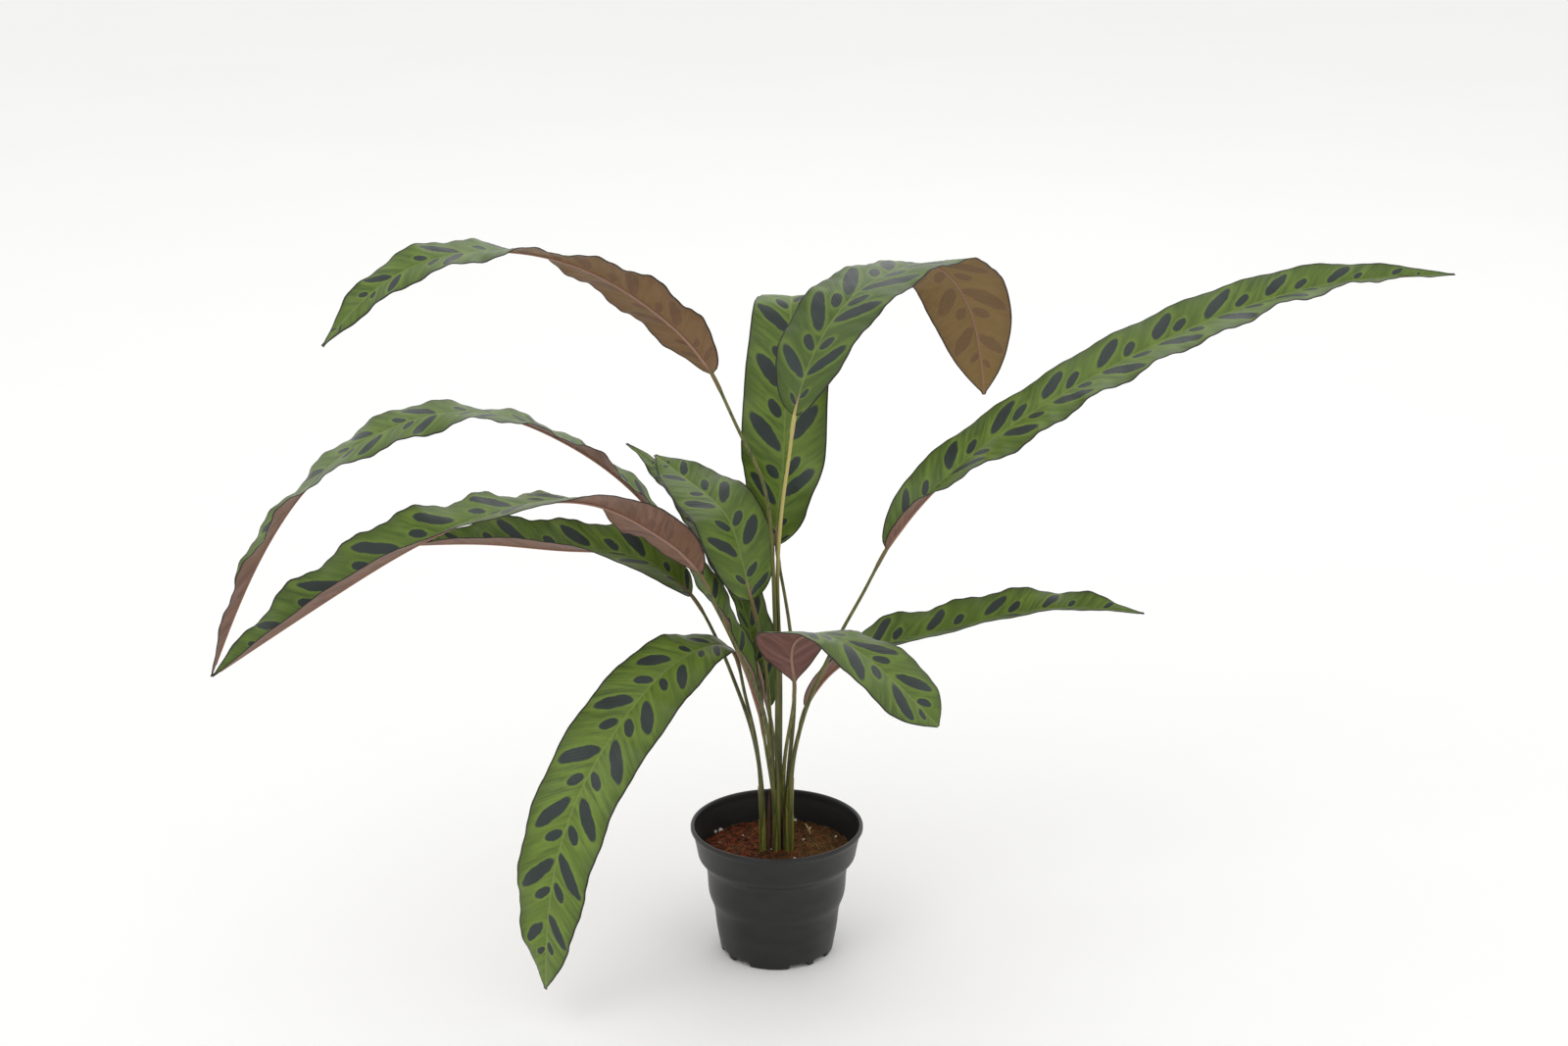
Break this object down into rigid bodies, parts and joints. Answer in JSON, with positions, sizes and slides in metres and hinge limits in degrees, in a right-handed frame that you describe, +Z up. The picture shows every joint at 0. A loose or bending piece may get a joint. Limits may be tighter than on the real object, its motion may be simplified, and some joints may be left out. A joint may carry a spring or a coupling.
{
  "type": "potted calathea",
  "caption": "Calathea with long waved and blotched leaves on slim stalks, standing in the coir soil of a black tapered nursery pot with a collar and a rolled rim.",
  "frame": {"origin": "middle of the pot's flat underside, on the surface that the pot stands on", "axes": "+Z up, -Y towards the viewer, +X to the viewer's right along the plant's widest reach"},
  "size_m": [0.8375, 0.3823, 0.536],
  "materials": {
    "pot": "injection-moulded black polypropylene, satin",
    "soil": "loose brown coir",
    "stem": "smooth leaf stalk, satin",
    "leaf": "thin waxy leaf, green with dark blotches above, brown-purple below"
  },
  "bodies": {
    "root": {"pot": "pot", "soil": "soil", "stem_a": "stem", "stem_b": "stem", "stem_c": "stem", "stem_d": "stem", "stem_e": "stem", "stem_f": "stem", "stem_g": "stem", "stem_h": "stem", "stem_i": "stem", "stem_j": "stem", "stem_k": "stem", "stem_l": "stem", "leaf_a": "leaf", "leaf_b": "leaf", "leaf_c": "leaf", "leaf_d": "leaf", "leaf_e": "leaf", "leaf_f": "leaf", "leaf_g": "leaf", "leaf_h": "leaf", "leaf_i": "leaf", "leaf_j": "leaf", "leaf_k": "leaf", "leaf_l": "leaf"}
  },
  "joints": []
}
